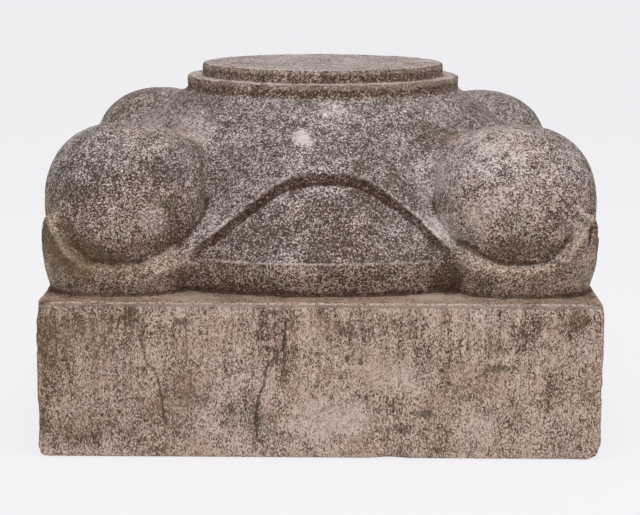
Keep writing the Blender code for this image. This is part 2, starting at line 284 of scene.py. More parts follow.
# Screen colours from 0 to 255: cool and warm shades of the stone, then what lies on it
LIGHT = ((208, 198, 195), (206, 184, 168))
MIDDLE = ((140, 129, 126), (142, 119, 102))
DEEP = ((66, 56, 52), (67, 48, 36))
MOSS = (72, 61, 42)
RUST = (176, 124, 100)
OLIVE = (112, 112, 92)
WHITE = (222, 214, 208)
PINK = (170, 138, 120)
BROWN = (108, 88, 62)
BLOOM = (210, 197, 192)
SOIL = (74, 56, 44)
# Painted shade, some of it with grime: the band's edges, the creases, the cut line, the foot, the belly;
# painted highlights: the rim and ridge, and the edges, which are partly wear
BAND_EDGE_SHADE_COLOUR = (62, 45, 36)
CREASE_SHADE_AND_GRIME_COLOUR = (60, 44, 34)
CUT_SHADOW_COLOUR = (54, 40, 32)
FOOT_SHADE_AND_GRIME_COLOUR = (62, 42, 29)
BELLY_SHADE_COLOUR = (110, 86, 66)
RIM_HIGHLIGHT_COLOUR = (206, 192, 184)
ARRIS_WEAR_AND_HIGHLIGHT_COLOUR = (192, 172, 158)
CRACK_COLOUR = (60, 50, 38)

# Colours that multiply the stone's own; the band's tint is painted shade, with some grime
BAND_SHADE_AND_GRIME_TINT = (0.37, 0.265, 0.21, 1)
LEDGE_TINT = (0.71, 0.66, 0.61, 1)
BAR_TINTS = ((0.84, 0.83, 0.82, 1), (1.06, 1.06, 1.06, 1))

# Masks that the mesh stores: plain ones from 0 to 1, and signed ones with their reach, distances in metres
PLAIN_MASKS = ("crevice", "nook", "arris", "grime", "contrast", "warmth")
SIGNED_MASKS = {"stain": 2.0, "tone": 2.0, "band_inside": 4.0, "band_height": 0.04,
                "lip": 0.04, "to_cup": 0.04, "to_ball": 0.04, "to_rest": 0.04}

# Masks: tests of the open air as (distance, weight), then how far off nooks and arrises are felt
AIR_TESTS = ((0.003, 0.30), (0.007, 0.30), (0.015, 0.25), (0.030, 0.15))
NOOK_DISTANCE = 0.0022
EDGE_DISTANCE = 0.004

# Where one part's finish gives way to the next, and the angle at which the band under the arch ends
ZONE_FADE = 0.0022
ABOVE_PLINTH = 0.0012
BAND_END = 0.62

# Grid of the distance field, and the visual mesh
GRID_LOW = (-0.2125, -0.2285, -0.0045)
GRID_HIGH = (0.2125, 0.2285, 0.2730)
CELL = 0.0015
MOST_TRIANGLES = 190000
SEED = 7
NOISE_CELLS = 48

# Camera, floor and world
LENS = 104.918
CAMERA_PLACE = (0.01478, -1.51028, 0.37347)
CAMERA_TURN = (1.395872, -0.003395, 0.011542)
FLOOR_HALF = 14.0
FLOOR_DROP = 0.0002
FLOOR_COLOUR = (0.12, 0.119, 0.122, 1)
FLOOR_GLOW = (0.871, 0.863, 0.888, 1)
FLOOR_GLOW_STRENGTH = 0.87
WORLD_COLOUR = (0.913, 0.905, 0.930, 1)
WORLD_STRENGTH = 0.55

# Lights: (name, place, target, size, watts, colour)
LIGHTS = (
    ("overhead", (0.12, -0.50, 1.8), (0, 0, 0.1), (1.4, 1.0), 20, (1.0, 0.985, 0.96)),
    ("front", (0.05, -2.4, 1.0), (0, 0, 0.12), (1.6, 0.9), 13, (1.0, 0.99, 0.97)),
)

CORNERS = [(x, y, z) for x in (0, 1) for y in (0, 1) for z in (0, 1)]


def smooth_min(a, b, width):
    gap = np.maximum(width - np.abs(a - b), 0.0)
    return np.minimum(a, b) - gap * gap / (4 * width)


def smooth_max(a, b, width):
    return -smooth_min(-a, -b, width)


def smooth_step(low, high, value):
    share = np.clip((value - low) / (high - low), 0.0, 1.0)
    return share * share * (3 - 2 * share)


def soft_ramp(value, width):
    return width * np.logaddexp(0.0, value / width)


def hollow(rise, angle):
    quarter = math.pi / 2
    turn = np.abs((angle + quarter / 2) % quarter - quarter / 2)
    middle = HOLLOW_LOW + 0.25 * (HOLLOW_HIGH - HOLLOW_LOW)
    upright = smooth_step(HOLLOW_LOW, middle, rise) * (1 - smooth_step(middle * 1.3, HOLLOW_HIGH, rise))
    return HOLLOW_DEPTH * smooth_step(HOLLOW_START, HOLLOW_FULL, turn) * upright


def skirt_offset():
    run = RIDGE_RADIUS - SHOULDER_RADIUS
    fall = SHOULDER_RISE - RIDGE_RISE
    length = math.hypot(run, fall)
    return SKIRT_THICKNESS * fall / length, SKIRT_THICKNESS * run / length


def torus_radius(rise):
    share = (SHOULDER_RISE - rise) / (SHOULDER_RISE - RIDGE_RISE)
    swell = np.where((share > 0) & (share < 1), FACE_SWELL * 4 * share * (1 - share), 0.0)
    face = SHOULDER_RADIUS + share * (RIDGE_RADIUS - SHOULDER_RADIUS) + swell
    low = np.clip(rise / RIDGE_RISE, 0.0, 1.0)
    under = FOOT_RADIUS + np.sin(low * math.pi / 2) * (RIDGE_RADIUS - FOOT_RADIUS)
    return np.where(rise < RIDGE_RISE, under, face)


def skirt_radius(rise):
    out, up = skirt_offset()
    share = (SHOULDER_RISE - rise + up) / (SHOULDER_RISE - RIDGE_RISE)
    swell = np.where((share > 0) & (share < 1), FACE_SWELL * 4 * share * (1 - share), 0.0)
    return SHOULDER_RADIUS + share * (RIDGE_RADIUS - SHOULDER_RADIUS) + swell + out


def bell_radius(rise):
    """Radius of the skirt's outer face low down, and of the bell above it."""
    out, up = skirt_offset()
    start = np.array((BELL_TOP_RADIUS, BELL_TOP_RISE))
    end = np.array((SHOULDER_RADIUS + out, SHOULDER_RISE + up))
    reach = (end[0] - start[0]) * BELL_FULLNESS
    near_start = start + np.array((reach, -BELL_TOP_SLOPE * reach))
    near_end = end + np.array((-reach, BELL_FOOT_SLOPE * reach))
    t = np.linspace(1, 0, BELL_STEPS)[:, None]
    curve = (1 - t) ** 3 * start + 3 * (1 - t) ** 2 * t * near_start
    curve = curve + 3 * (1 - t) * t**2 * near_end + t**3 * end
    upper = np.interp(rise, curve[:, 1], curve[:, 0])
    return np.where(rise < end[1], skirt_radius(rise), upper)


def arch_rise(across):
    at_crown = soft_ramp(-ARCH_CROWN_HALF, ARCH_SOFTNESS)
    fall = soft_ramp(np.abs(across) - ARCH_CROWN_HALF, ARCH_SOFTNESS) - at_crown
    return ARCH_RISE - ARCH_SLOPE * fall


def arched_edge(x, y):
    """Height of the arched edge above the plinth. The front arch stands a little to the right."""
    shift = np.where(y < 0, FRONT_ARCH_SHIFT * (1 - smooth_step(0.06, 0.12, np.abs(x))), 0.0)
    return np.where(np.abs(y) > np.abs(x), arch_rise(x - shift), arch_rise(y))


def lean(radius, rise):
    """Cosine of a turned face's slope at each height, to turn a radius difference into a distance."""
    return 1 / np.sqrt(1 + np.gradient(radius, rise) ** 2)


def disc(reach, z, radius, low, high):
    out = reach - radius + DISC_ROUNDING
    up = np.abs(z - (low + high) / 2) - (high - low) / 2 + DISC_ROUNDING
    outside = np.sqrt(np.maximum(out, 0) ** 2 + np.maximum(up, 0) ** 2)
    return outside + np.minimum(np.maximum(out, up), 0) - DISC_ROUNDING


def block(x, y, z):
    out = [
        np.maximum(-x, x - RIGHT_FACE_PROUD) - PLINTH_WIDTH / 2 + PLINTH_ROUNDING,
        np.abs(y) - PLINTH_DEPTH / 2 + PLINTH_ROUNDING,
        np.abs(z - PLINTH_HEIGHT / 2) - PLINTH_HEIGHT / 2 + PLINTH_ROUNDING,
    ]
    outside = np.sqrt(sum(np.maximum(part, 0) ** 2 for part in out))
    return outside + np.minimum(np.maximum(np.maximum(out[0], out[1]), out[2]), 0) - PLINTH_ROUNDING


def carved(x, y, z):
    """Distance field of torus, arched skirt, bell and discs, negative inside the stone."""
    rise = (z - PLINTH_HEIGHT).ravel()
    reach = np.sqrt(x**2 + y**2)
    angle = np.arctan2(y, x)
    recess = hollow(rise[None, None, :], angle)
    torus_reach = torus_radius(rise)
    bell_reach = bell_radius(rise)
    torus_lean = lean(torus_reach, rise)
    bell_lean = lean(bell_reach, rise)
    rise = rise[None, None, :]
    torus = (reach + recess - torus_reach) * torus_lean
    torus = np.maximum(torus, rise - SHOULDER_RISE - OVERLAP)
    bell = (reach + recess - bell_reach) * bell_lean
    inside = np.clip(-bell / SKIRT_THICKNESS, *EDGE_LIMITS)
    opening = (arched_edge(x, y) - EDGE_DROP * inside - rise) * EDGE_LEAN
    bell = smooth_max(bell, opening, EDGE_ROUNDING)
    bell = smooth_max(bell, rise - BELL_TOP_RISE - 0.001, 0.001)
    body = smooth_min(torus, bell, SKIRT_BLEND)
    low = PLINTH_HEIGHT + BELL_TOP_RISE
    middle = low + COLLAR_THICKNESS
    top = middle + SEAT_THICKNESS
    body = smooth_min(body, disc(reach, z, COLLAR_RADIUS, low - DISC_OVERLAP, middle), DISC_ROUNDING)
    body = smooth_min(body, disc(reach, z, SEAT_RADIUS, middle - DISC_OVERLAP, top), DISC_ROUNDING)
    return np.maximum(body, -rise - OVERLAP)


def cup_wall(rise, away):
    under = (CUP_BELLY_RISE - rise) / CUP_BELLY_RISE
    waist = CUP_RADIUS - CUP_FOOT_RADIUS
    low = np.clip(under, 0, 1.4) ** CUP_BELLY_BEND
    high = np.clip(-under, 0, 1.6) ** 2
    radius = CUP_RADIUS - waist * (low + 0.5 * high)
    along = away + math.pi / 4
    power = CUP_SQUARENESS
    spread = (np.abs(np.cos(along)) ** power + np.abs(np.sin(along)) ** power) ** (-1 / power)
    tip = TIP_REACH * np.exp(-((away / TIP_WIDTH) ** 2))
    return radius * spread + tip * np.clip(rise / CUP_BELLY_RISE - 0.4, 0.0, 1.0)


def lip_rises(away):
    away = np.abs(away)
    tip = np.exp(-((away / TIP_WIDTH) ** 1.4))
    climb = LIP_CLIMB * soft_ramp(away - LIP_CLIMB_START, LIP_BEND)
    touch = LIP_RISE + TIP_RISE * tip + climb
    droop = LIP_DROOP * soft_ramp(away - LIP_DROOP_START, LIP_BEND)
    return touch, touch - LIP_FALL * (1 - 0.4 * tip) - droop


def ball_reach(rise, away):
    part = np.minimum(np.abs(rise - BALL_RISE) / BALL_HALF_HEIGHT, 0.98)
    radius = BALL_RADIUS * (1 - part**BALL_FULLNESS) ** (1 / BALL_FULLNESS)
    shift = CUP_SHIFT * math.sqrt(2)
    inside = np.maximum(radius**2 - (shift * np.sin(away)) ** 2, 1e-8)
    return np.sqrt(inside) - shift * np.cos(away)


def cup(x, y, rise):
    """Field of a cup whose outer corner is towards +X and +Y, x and y measured from the cup's axis."""
    reach = np.sqrt(x**2 + y**2)
    away = np.arctan2(x - y, x + y)
    touch, edge = lip_rises(away)
    rim = cup_wall(edge, away)
    contact = np.minimum(ball_reach(touch, away), rim - 0.006)
    slope = (touch - edge) / (rim - contact)
    surface = edge + slope * (rim - reach)
    surface = np.where(reach < contact, touch + 0.2 * (contact - reach), surface)
    wall = reach - cup_wall(rise, away)
    cap = (rise - surface) / np.sqrt(1 + slope**2)
    turn = np.abs(away)
    at_side = LIP_SIDE_ROUNDING * smooth_step(0.15, 0.5, turn)
    softness = LIP_ROUNDING + at_side * (1 - smooth_step(1.15, 1.6, turn))
    return np.maximum(smooth_max(wall, cap, softness), -rise - 0.006)


def ball(x, y, rise):
    power = BALL_FULLNESS
    flat = np.sqrt(x**2 + y**2) / BALL_RADIUS
    tall = np.abs(rise - BALL_RISE) / BALL_HALF_HEIGHT
    value = (flat**power + tall**power) ** (1 / power)
    return (value - 1) * (BALL_RADIUS + BALL_HALF_HEIGHT) / 2


def stone_field(axes):
    x = axes[0][:, None, None]
    y = axes[1][None, :, None]
    z = axes[2][None, None, :]
    field = carved(x, y, z).astype(np.float32)
    for side_x, side_y, move_x, move_z, lift in LOBES:
        part_x = np.nonzero(axes[0] * side_x > LOBE_START)[0]
        part_y = np.nonzero(axes[1] * side_y > LOBE_START)[0]
        window = (slice(part_x[0], part_x[-1] + 1), slice(part_y[0], part_y[-1] + 1), slice(None))
        u = (x[window[0]] - move_x) * side_x
        v = y[:, window[1]] * side_y
        rise = z - PLINTH_HEIGHT - move_z
        centre = BALL_OFFSET + CUP_SHIFT
        core = field[window]
        round_part = ball(u - BALL_OFFSET, v - BALL_OFFSET, rise)
        blend = BALL_BLEND + BALL_TOP_BLEND * smooth_step(0.058, 0.104, rise)
        off_ball = smooth_step(-0.004, 0.006, round_part - core)
        core = smooth_min(core, round_part, blend)
        at_tip = np.exp(-((np.arctan2(u - v, u + v - 2 * centre) / (1.5 * TIP_WIDTH)) ** 2))
        width = CUP_BLEND + CUP_SIDE_BLEND * off_ball
        width = width + CUP_TIP_BLEND * at_tip * smooth_step(0.030, 0.045, rise)
        field[window] = smooth_min(core, cup(u - centre, v - centre, rise - lift), width)
    return smooth_min(field, block(x, y, z).astype(np.float32), FOOT_BLEND)


def sample(field, axes, points):
    """Field value at each point, in proportion between the grid's corners, and growing outside the grid."""
    at = []
    beyond = 0
    for axis in range(3):
        place = (points[:, axis] - axes[axis][0]) / CELL
        at.append(np.clip(place, 0, len(axes[axis]) - 1.001))
        beyond = beyond + np.abs(place - at[-1]) * CELL
    low = [part.astype(np.int64) for part in at]
    share = [part - floor for part, floor in zip(at, low)]
    total = np.zeros(len(points))
    for dx, dy, dz in CORNERS:
        weight = (share[0] if dx else 1 - share[0]) * (share[1] if dy else 1 - share[1])
        weight = weight * (share[2] if dz else 1 - share[2])
        total += weight * field[low[0] + dx, low[1] + dy, low[2] + dz]
    return total + beyond


def normals_at(field, axes, points):
    step = CELL
    slope = []
    for axis in range(3):
        nudge = np.zeros(3)
        nudge[axis] = step
        slope.append(sample(field, axes, points + nudge) - sample(field, axes, points - nudge))
    slope = np.stack(slope, axis=1)
    length = np.maximum(np.linalg.norm(slope, axis=1), 1e-9)
    return slope / length[:, None], np.clip(length / (2 * step), 0.3, 1.5)


def surface_net(field, axes):
    """Quad skin of the zero level: one vertex in each cell the surface crosses."""
    inside = field < 0
    shape = np.array(field.shape)
    count = np.zeros(shape - 1, np.int16)
    for dx, dy, dz in CORNERS:
        count += inside[dx : shape[0] - 1 + dx, dy : shape[1] - 1 + dy, dz : shape[2] - 1 + dz]
    cells = np.argwhere((count > 0) & (count < 8))
    number = np.full(shape - 1, -1, np.int64)
    number[cells[:, 0], cells[:, 1], cells[:, 2]] = np.arange(len(cells))
    total = np.zeros((len(cells), 3))
    hits = np.zeros(len(cells))
    for axis in range(3):
        others = [a for a in range(3) if a != axis]
        for first in (0, 1):
            for second in (0, 1):
                start = cells.copy()
                start[:, others[0]] += first
                start[:, others[1]] += second
                end = start.copy()
                end[:, axis] += 1
                a = field[start[:, 0], start[:, 1], start[:, 2]].astype(float)
                b = field[end[:, 0], end[:, 1], end[:, 2]].astype(float)
                crossed = (a < 0) != (b < 0)
                share = np.where(crossed, a / np.where(crossed, a - b, 1), 0)
                point = start.astype(float)
                point[:, axis] += share
                total += point * crossed[:, None]
                hits += crossed
    points = total / hits[:, None] * CELL + np.array([axis[0] for axis in axes])
    quads = []
    for axis in range(3):
        u, v = (axis + 1) % 3, (axis + 2) % 3
        low = [slice(None)] * 3
        high = [slice(None)] * 3
        low[axis] = slice(0, -1)
        high[axis] = slice(1, None)
        first = inside[tuple(low)]
        second = inside[tuple(high)]
        for leaves in (True, False):
            edges = np.argwhere((first & ~second) if leaves else (~first & second))
            keep = (edges[:, u] > 0) & (edges[:, v] > 0)
            edges = edges[keep]
            ring = []
            for step_u, step_v in ((-1, -1), (0, -1), (0, 0), (-1, 0)):
                cell = edges.copy()
                cell[:, u] += step_u
                cell[:, v] += step_v
                ring.append(number[cell[:, 0], cell[:, 1], cell[:, 2]])
            if not leaves:
                ring.reverse()
            quads.append(np.stack(ring, axis=1))
    return points, np.concatenate(quads)


RANDOM = np.random.default_rng(SEED).random((NOISE_CELLS,) * 3).astype(np.float32)


def value_noise(points, size, offset=0.0):
    """Smooth random values between 0 and 1 whose bumps are about that size across."""
    place = points / size + offset
    low = np.floor(place).astype(np.int64)
    share = place - low
    share = share * share * (3 - 2 * share)
    low %= NOISE_CELLS
    high = (low + 1) % NOISE_CELLS
    total = np.zeros(len(points))
    for corner in CORNERS:
        weight = 1
        place = []
        for axis, end in enumerate(corner):
            weight = weight * (share[:, axis] if end else 1 - share[:, axis])
            place.append((high if end else low)[:, axis])
        total += weight * RANDOM[tuple(place)]
    return total


def layered_noise(points, size, layers, offset=0.0):
    total = 0
    weight = 1.0
    weights = 0
    for layer in range(layers):
        total = total + weight * value_noise(points, size / 2**layer, offset + 11.3 * layer)
        weights += weight
        weight *= 0.55
    return total / weights


def sharpness(field, axes, points, normal, steepness, depth):
    """Above 0 near a convex edge, where the stone under a point is thinner than the depth."""
    return (1 + sample(field, axes, points - normal * depth) / (depth * steepness)) / ARRIS_SHARE


def weather(points, field, axes):
    """Wears the net: softened arrises, shallow hollows, pits and the chips along the edges."""
    normal, steepness = normals_at(field, axes, points)
    sharp = np.clip(sharpness(field, axes, points, normal, steepness, ARRIS_DEPTH), 0, 1)
    worn = layered_noise(points, 0.016, 3, 3.1)
    above = smooth_step(0.002, 0.010, points[:, 2])
    loss = sharp * (-LEAST_LOSS + ARRIS_LOSS * (0.25 + 0.75 * above) * smooth_step(0.52, 0.85, worn))
    broad = layered_noise(points, 0.030, 2, 9.4) - 0.5
    fine = layered_noise(points, 0.0070, 2, 5.7) - 0.5
    loss = loss + BROAD_LOSS * broad + FINE_LOSS * fine - LEAST_LOSS
    pits = smooth_step(0.74, 0.88, value_noise(points, 0.0065, 21.9))
    loss = loss + PIT_LOSS * pits
    loss = loss * smooth_step(-0.97, -0.80, normal[:, 2])
    for x, y, z, size, deep in CHIPS:
        away = np.linalg.norm((points - (x, y, z)) / size, axis=1)
        loss = loss + deep * np.clip(1.25 - away + 0.5 * fine, 0, 1)
    return points - normal * loss[:, None]


def arch_parts(points):
    """Height above the sloping band under the arched edge, and how far in from the edge it lies (0 to 1)."""
    x, y, rise = points[:, 0], points[:, 1], points[:, 2] - PLINTH_HEIGHT
    reach = np.hypot(x, y) + hollow(rise, np.arctan2(y, x))
    inside = (skirt_radius(rise) - reach) * FACE_LEAN / SKIRT_THICKNESS
    above = rise - arched_edge(x, y) + EDGE_DROP * np.clip(inside, *EDGE_LIMITS)
    off_axis = np.arctan2(np.minimum(np.abs(x), np.abs(y)), np.maximum(np.abs(x), np.abs(y)))
    return np.where(off_axis > BAND_END, 1.0, above), inside


def net_object(name, points, quads):
    mesh = bpy.data.meshes.new(name)
    mesh.vertices.add(len(points))
    mesh.vertices.foreach_set("co", points.astype(np.float32).ravel())
    mesh.loops.add(quads.size)
    mesh.loops.foreach_set("vertex_index", quads.astype(np.int32).ravel())
    mesh.polygons.add(len(quads))
    mesh.polygons.foreach_set("loop_start", np.arange(0, quads.size, 4, dtype=np.int32))
    mesh.update(calc_edges=True)
    mesh.validate()
    obj = bpy.data.objects.new(name, mesh)
    bpy.context.scene.collection.objects.link(obj)
    return obj


def thin_out(obj, most):
    """Merges the net's faces where it is flat until no more than that many triangles are left."""
    triangles = 2 * len(obj.data.polygons)
    if triangles > most:
        modifier = obj.modifiers.new("thin", "DECIMATE")
        modifier.ratio = most / triangles
        graph = bpy.context.evaluated_depsgraph_get()
        mesh = bpy.data.meshes.new_from_object(obj.evaluated_get(graph))
        obj.modifiers.clear()
        old = obj.data
        obj.data = mesh
        bpy.data.meshes.remove(old)
    obj.data.name = obj.name


def add_mask(obj, name, values):
    """Stores a mask at each vertex. A signed one is 0.5 for nothing, and 0 or 1 for half its reach."""
    if name in SIGNED_MASKS:
        values = 0.5 + values / SIGNED_MASKS[name]
    layer = obj.data.attributes.new(name, "FLOAT", "POINT")
    layer.data.foreach_set("value", np.clip(values, 0, 1).astype(np.float32))


def zones(points):
    """Distances from balls, rest, lip edge and cups, and what the finish of each part is like."""
    x, y, rise = points[:, 0], points[:, 1], points[:, 2] - PLINTH_HEIGHT
    reach = np.hypot(x, y) + hollow(rise, np.arctan2(y, x))
    torus = (reach - torus_radius(rise)) * FACE_LEAN
    torus = np.where(rise > SHOULDER_RISE, 1.0, torus)
    bell = (reach - bell_radius(rise)) * BELL_LEAN
    above = arch_parts(points)[0]
    bell = np.where(rise > BELL_TOP_RISE, 1.0, np.maximum(bell, -above))
    balls = np.full(len(points), 1.0)
    cups = np.full(len(points), 1.0)
    lip = np.full(len(points), -1.0)
    for side_x, side_y, move_x, move_z, lift in LOBES:
        u = (x - move_x) * side_x
        v = y * side_y
        centre = BALL_OFFSET + CUP_SHIFT
        near = (u > 0.06) & (v > 0.06)
        up = np.maximum(rise - move_z, 0.0)
        balls = np.where(near, np.minimum(balls, ball(u - BALL_OFFSET, v - BALL_OFFSET, up)), balls)
        cups = np.where(near, np.minimum(cups, cup(u - centre, v - centre, up - lift)), cups)
        touch, edge = lip_rises(np.arctan2(u - v, u + v - 2 * centre))
        lip = np.where(near, up - lift - edge, lip)
    fields = [
        np.abs(torus),
        np.abs(bell),
        np.where(rise > BELL_TOP_RISE - 0.001, 0.0, 1.0),
        np.where(rise > ABOVE_PLINTH, 1.0, 0.0),
        np.abs(balls),
        np.abs(cups) + np.where(rise > ABOVE_PLINTH, 0.0, 1.0),
    ]
    share = np.exp(-np.stack(fields) / ZONE_FADE)
    share = share / np.maximum(share.sum(axis=0), 1e-12)
    kinds = [np.array(values) @ share for values in (DIRT, CONTRAST, WARMTH)]
    return balls, np.minimum(np.minimum(torus, bell), cups), lip, np.abs(cups), kinds


def stains(points):
    """Dirt and pale or brown tone that the larger blotches add, from -1 to 1."""
    dirt = np.zeros(len(points))
    tone = np.zeros(len(points))
    ragged = 0.9 * (layered_noise(points, 0.012, 2, 15.1) - 0.5)
    front = tuple((x, -0.22, z, (wide, 0.03, high), *shades) for x, z, wide, high, *shades in FRONT_STAINS)
    for x, y, z, size, more_dirt, more_tone in STAINS + front:
        away = np.linalg.norm((points - (x, y, z)) / size, axis=1) + ragged
        share = 1 - smooth_step(0.45, 1.15, away)
        dirt += share * more_dirt
        tone += share * more_tone
    return dirt, tone


def build_stone():
    axes = [np.arange(low, high, CELL) for low, high in zip(GRID_LOW, GRID_HIGH)]
    field = stone_field(axes)
    points, quads = surface_net(field, axes)
    points = weather(points, field, axes)
    low, high = (np.array(corner) for corner in CAD_BOX)
    points = np.clip(points, low, high)
    obj = net_object("carved_stone", points, quads)
    thin_out(obj, MOST_TRIANGLES)
    obj.data.polygons.foreach_set("use_smooth", [True] * len(obj.data.polygons))
    places = np.empty(len(obj.data.vertices) * 3)
    obj.data.vertices.foreach_get("co", places)
    places = np.clip(places.reshape(-1, 3), low, high)
    obj.data.vertices.foreach_set("co", places.astype(np.float32).ravel())
    obj.data.update()
    normal, steepness = normals_at(field, axes, places)
    open_air = np.zeros(len(places))
    for distance, weight in AIR_TESTS:
        clear = sample(field, axes, places + normal * distance) / (distance * steepness)
        open_air += weight * np.clip(clear, 0, 1)
    close = sample(field, axes, places + normal * NOOK_DISTANCE) / (NOOK_DISTANCE * steepness)
    sharp = sharpness(field, axes, places, normal, steepness, EDGE_DISTANCE)
    # crevice and nook say how closed in a point is; the finish paints shade in them, and soil in the crevices
    masks = {"crevice": 1 - open_air, "nook": 1 - close, "arris": sharp}
    masks["band_height"], masks["band_inside"] = arch_parts(places)
    masks["to_ball"], masks["to_rest"], masks["lip"], masks["to_cup"], kinds = zones(places)
    masks["grime"], masks["contrast"], masks["warmth"] = kinds
    masks["stain"], masks["tone"] = stains(places)
    for name, values in masks.items():
        add_mask(obj, name, values)
    return obj


def add_camera():
    data = bpy.data.cameras.new("camera")
    data.lens = LENS
    data.sensor_width = 36
    obj = bpy.data.objects.new("camera", data)
    obj.location = CAMERA_PLACE
    obj.rotation_euler = Euler(CAMERA_TURN, "XYZ")
    bpy.context.scene.collection.objects.link(obj)
    bpy.context.scene.camera = obj


def add_light(name, place, target, size, power, colour):
    data = bpy.data.lights.new(name, "AREA")
    data.shape = "RECTANGLE"
    data.size = size[0]
    data.size_y = size[1]
    data.energy = power
    data.color = colour
    obj = bpy.data.objects.new(name, data)
    obj.location = place
    obj.rotation_euler = (Vector(target) - Vector(place)).to_track_quat("-Z", "Y").to_euler()
    bpy.context.scene.collection.objects.link(obj)


def add_stage():
    mesh = bpy.data.meshes.new("floor")
    corners = [(x * FLOOR_HALF, y * FLOOR_HALF, 0) for x, y in ((-1, -1), (1, -1), (1, 1), (-1, 1))]
    mesh.from_pydata(corners, [], [(0, 1, 2, 3)])
    floor = bpy.data.objects.new("floor", mesh)
    floor.location.z = -FLOOR_DROP
    bpy.context.scene.collection.objects.link(floor)
    material = bpy.data.materials.new("pale_floor")
    material.use_nodes = True
    shader = material.node_tree.nodes["Principled BSDF"]
    shader.inputs["Base Color"].default_value = FLOOR_COLOUR
    shader.inputs["Roughness"].default_value = 0.9
    shader.inputs["Emission Color"].default_value = FLOOR_GLOW
    shader.inputs["Emission Strength"].default_value = FLOOR_GLOW_STRENGTH
    mesh.materials.append(material)
    world = bpy.data.worlds.new("studio")
    world.use_nodes = True
    background = world.node_tree.nodes["Background"]
    background.inputs["Color"].default_value = WORLD_COLOUR
    background.inputs["Strength"].default_value = WORLD_STRENGTH
    bpy.context.scene.world = world
    bpy.context.scene.view_settings.view_transform = "Standard"
    for light in LIGHTS:
        add_light(*light)


def paint(colour):
    """Screen colour from 0 to 255 as the linear colour that a shader takes."""
    linear = []
    for part in colour:
        part = part / 255
        linear.append(part / 12.92 if part <= 0.04045 else ((part + 0.055) / 1.055) ** 2.4)
    return (*linear, 1.0)


class Finish:
    """Short names for the shader nodes that the stone needs."""

    def __init__(self, name):
        self.material = bpy.data.materials.new(name)
        self.material.use_nodes = True
        self.tree = self.material.node_tree
        self.shader = self.tree.nodes["Principled BSDF"]

    def node(self, kind):
        return self.tree.nodes.new("ShaderNode" + kind)

    def put(self, socket, value):
        if isinstance(value, bpy.types.NodeSocket):
            self.tree.links.new(value, socket)
        else:
            socket.default_value = value

    def calc(self, operation, a, b=0.0, clamp=False):
        node = self.node("Math")
        node.operation = operation
        node.use_clamp = clamp
        self.put(node.inputs[0], a)
        self.put(node.inputs[1], b)
        return node.outputs[0]

    def add(self, a, b):
        return self.calc("ADD", a, b)

    def less(self, a, b):
        return self.calc("SUBTRACT", a, b)

    def times(self, first, *others):
        for other in others:
            first = self.calc("MULTIPLY", first, other)
        return first

    def off_middle(self, value):
        return self.less(value, 0.5)

    def total(self, start, parts):
        """Adds the share of each (share, weight) part to the start, times its weight."""
        for share, weight in parts:
            start = self.add(start, self.times(share, weight))
        return start

    def ramp(self, value, low, high):
        """Share that goes softly from 0 at low to 1 at high."""
        node = self.node("MapRange")
        node.interpolation_type = "SMOOTHSTEP"
        self.put(node.inputs["Value"], value)
        self.put(node.inputs["From Min"], low)
        self.put(node.inputs["From Max"], high)
        return node.outputs["Result"]

    def fall(self, value, low, high):
        """Share that goes softly from 1 at low to 0 at high."""
        return self.less(1.0, self.ramp(value, low, high))

    def near(self, value, low, high):
        """Share that falls from 1 to 0 as the value leaves nothing on either side."""
        return self.fall(self.calc("ABSOLUTE", value), low, high)

    def stretch(self, vector, sizes, shift=(0, 0, 0)):
        node = self.node("VectorMath")
        node.operation = "MULTIPLY_ADD"
        self.put(node.inputs[0], vector)
        node.inputs[1].default_value = tuple(1 / size for size in sizes)
        node.inputs[2].default_value = shift
        return node.outputs[0]

    def moved(self, vector, shift):
        return self.stretch(vector, (1, 1, 1), shift)

    def grains(self, vector, size):
        """Two random values from 0 to 1 for each grain about that many millimetres across."""
        node = self.node("TexVoronoi")
        self.put(node.inputs["Vector"], vector)
        node.inputs["Scale"].default_value = 1000 / size
        split = self.node("SeparateXYZ")
        self.put(split.inputs[0], node.outputs["Color"])
        return split.outputs[0], split.outputs[1]

    def line(self, along, places):
        """Position of a line that runs through the given (along, across) points, for each place along it."""
        low, high = places[0][0], places[-1][0]
        share = self.node("MapRange")
        self.put(share.inputs["Value"], along)
        self.put(share.inputs["From Min"], low)
        self.put(share.inputs["From Max"], high)
        node = self.node("FloatCurve")
        self.put(node.inputs["Value"], share.outputs["Result"])
        curve = node.mapping.curves[0]
        curve.points[0].location = (0.0, places[0][1] + 0.5)
        curve.points[1].location = (1.0, places[-1][1] + 0.5)
        for at, across in places[1:-1]:
            curve.points.new((at - low) / (high - low), across + 0.5)
        for point in curve.points:
            point.handle_type = "VECTOR"
        node.mapping.update()
        return self.off_middle(node.outputs[0])

    def noise(self, vector, size, detail=2.0, roughness=0.55, distortion=0.0):
        """Noise from 0 to 1 whose largest blobs are about that many millimetres apart."""
        node = self.node("TexNoise")
        self.put(node.inputs["Vector"], vector)
        node.inputs["Scale"].default_value = 1000 / size
        node.inputs["Detail"].default_value = detail
        node.inputs["Roughness"].default_value = roughness
        node.inputs["Distortion"].default_value = distortion
        return node.outputs["Fac"]

    def blend(self, share, a, b, kind="MIX"):
        node = self.node("Mix")
        node.data_type = "RGBA"
        node.blend_type = kind
        self.put(node.inputs["Factor"], share)
        self.put(node.inputs[6], a)
        self.put(node.inputs[7], b)
        return node.outputs[2]

    def coats(self, colour, layers):
        """Lays each (share, screen colour) layer over the colour."""
        for share, layer in layers:
            colour = self.blend(share, colour, paint(layer))
        return colour

    def tinted(self, share, colour, tint):
        """The colour multiplied by the tint where the share is 1."""
        return self.blend(share, colour, self.blend(1.0, colour, tint, "MULTIPLY"))

    def mask(self, name):
        node = self.node("Attribute")
        node.attribute_name = name
        return node.outputs["Fac"]


